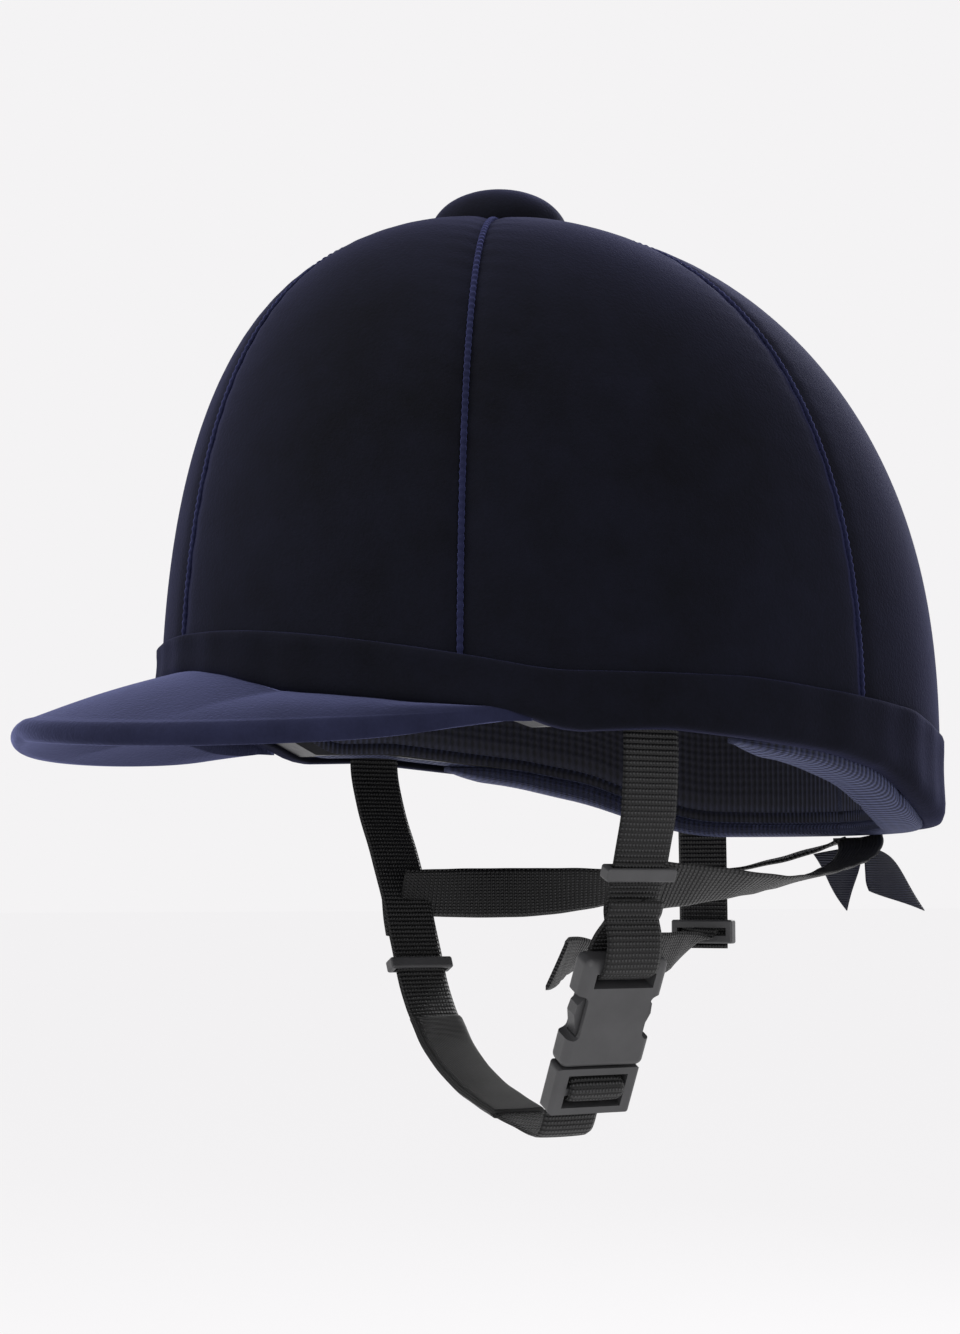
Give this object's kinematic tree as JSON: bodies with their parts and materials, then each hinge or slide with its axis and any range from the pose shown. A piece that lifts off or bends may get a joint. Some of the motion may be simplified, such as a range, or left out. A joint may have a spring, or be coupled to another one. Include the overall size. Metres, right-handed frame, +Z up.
{
  "type": "equestrian riding helmet",
  "caption": "Velvet-covered riding helmet with a stiff peak, button-topped domed crown, padded nape ring and a webbing harness with a side-release buckle.",
  "frame": {"origin": "centre of the head opening, at the height of the rim over the ear", "axes": "+Z up through the crown, -Y towards the peak, +X to the wearer's left"},
  "size_m": [0.228, 0.355, 0.3242],
  "materials": {
    "velvet": "deep navy cotton velvet, soft pile",
    "shell": "moulded hard shell",
    "foam": "expanded polystyrene, dark",
    "mesh": "fine dark mesh",
    "metal": "plated",
    "board": "stiff board",
    "padding": "navy ribbed jersey over foam",
    "webbing": "black ribbed nylon webbing",
    "chin_sleeve": "smooth black tape",
    "plastic": "dark grey acetal, fine texture",
    "ribbon": "navy grosgrain ribbon"
  },
  "bodies": {
    "helmet": {"outer_shell": "shell", "impact_liner": "foam", "mesh_lining": "mesh", "crown_button": "velvet", "button_stud": "metal", "hat_band": "velvet", "peak_cover_top": "velvet", "peak_board": "board", "peak_cover_under": "velvet", "peak_edge_roll": "velvet", "nape_ring": "padding", "headband_pad": "padding", "crown_pad": "padding", "anchor_rivets": "metal", "nape_strap_right": "webbing", "nape_strap_left": "webbing", "rear_anchor_rivet": "metal", "bow_knot": "ribbon", "bow_tab": "webbing", "velvet_panel_left_1": "velvet", "velvet_panel_left_2": "velvet", "velvet_panel_left_3": "velvet", "velvet_panel_right_1": "velvet", "velvet_panel_right_2": "velvet", "velvet_panel_right_3": "velvet"},
    "harness": {"front_strap_left": "webbing", "front_strap_right": "webbing", "chin_strap": "webbing", "chin_pad": "chin_sleeve", "buckle_female": "plastic", "strap_tail_right": "webbing"},
    "male": {"buckle_male": "plastic", "chin_loop": "webbing"},
    "prong_front_arm": {"prong_front": "plastic"},
    "prong_rear_arm": {"prong_rear": "plastic"},
    "slider_l": {"slider_left": "plastic"},
    "slider_r": {"slider_right": "plastic"},
    "rear_strap": {"rear_drop_strap": "webbing", "lower_nape_strap": "webbing"},
    "slider_b": {"slider_rear": "plastic"},
    "tail_left": {"ribbon_tail_left": "ribbon"},
    "tail_right": {"ribbon_tail_right": "ribbon"}
  },
  "joints": [
    {"name": "harness_swing", "type": "hinge", "parent": "helmet", "child": "harness", "pos_m": [0, -0.028, 0.004], "axis": [-1, 0, 0], "range_deg": [-3, 20]},
    {"name": "buckle_release", "type": "slide", "parent": "harness", "child": "male", "axis": [-0.454, 0, -0.891], "range_m": [0, 0.018]},
    {"name": "prong_front_squeeze", "type": "slide", "parent": "male", "child": "prong_front_arm", "axis": [0, 1, 0], "range_m": [0, 0.0054]},
    {"name": "prong_rear_squeeze", "type": "slide", "parent": "male", "child": "prong_rear_arm", "axis": [0, -1, 0], "range_m": [0, 0.0054]},
    {"name": "slider_left_slide", "type": "slide", "parent": "harness", "child": "slider_l", "axis": [0.4067, 0, 0.9135], "range_m": [-0.004, 0.004]},
    {"name": "slider_right_slide", "type": "slide", "parent": "harness", "child": "slider_r", "axis": [-0.4274, 0, 0.9041], "range_m": [-0.004, 0.004]},
    {"name": "rear_strap_swing", "type": "hinge", "parent": "helmet", "child": "rear_strap", "pos_m": [-0.0625, 0.0985, -0.024], "axis": [-0.6157, 0.788, 0], "range_deg": [-4, 4]},
    {"name": "slider_rear_slide", "type": "slide", "parent": "rear_strap", "child": "slider_b", "axis": [0, 0, 1], "range_m": [-0.005, 0.008]},
    {"name": "tail_left_swing", "type": "hinge", "parent": "helmet", "child": "tail_left", "pos_m": [0, 0.13, -0.0335], "axis": [1, 0, 0], "range_deg": [-20, 20]},
    {"name": "tail_right_swing", "type": "hinge", "parent": "helmet", "child": "tail_right", "pos_m": [0, 0.13, -0.0335], "axis": [1, 0, 0], "range_deg": [-20, 20]}
  ],
  "couplings": [
    {"joint": "prong_front_squeeze", "follows": "buckle_release", "ratio": 0.3},
    {"joint": "prong_rear_squeeze", "follows": "buckle_release", "ratio": 0.3}
  ]
}
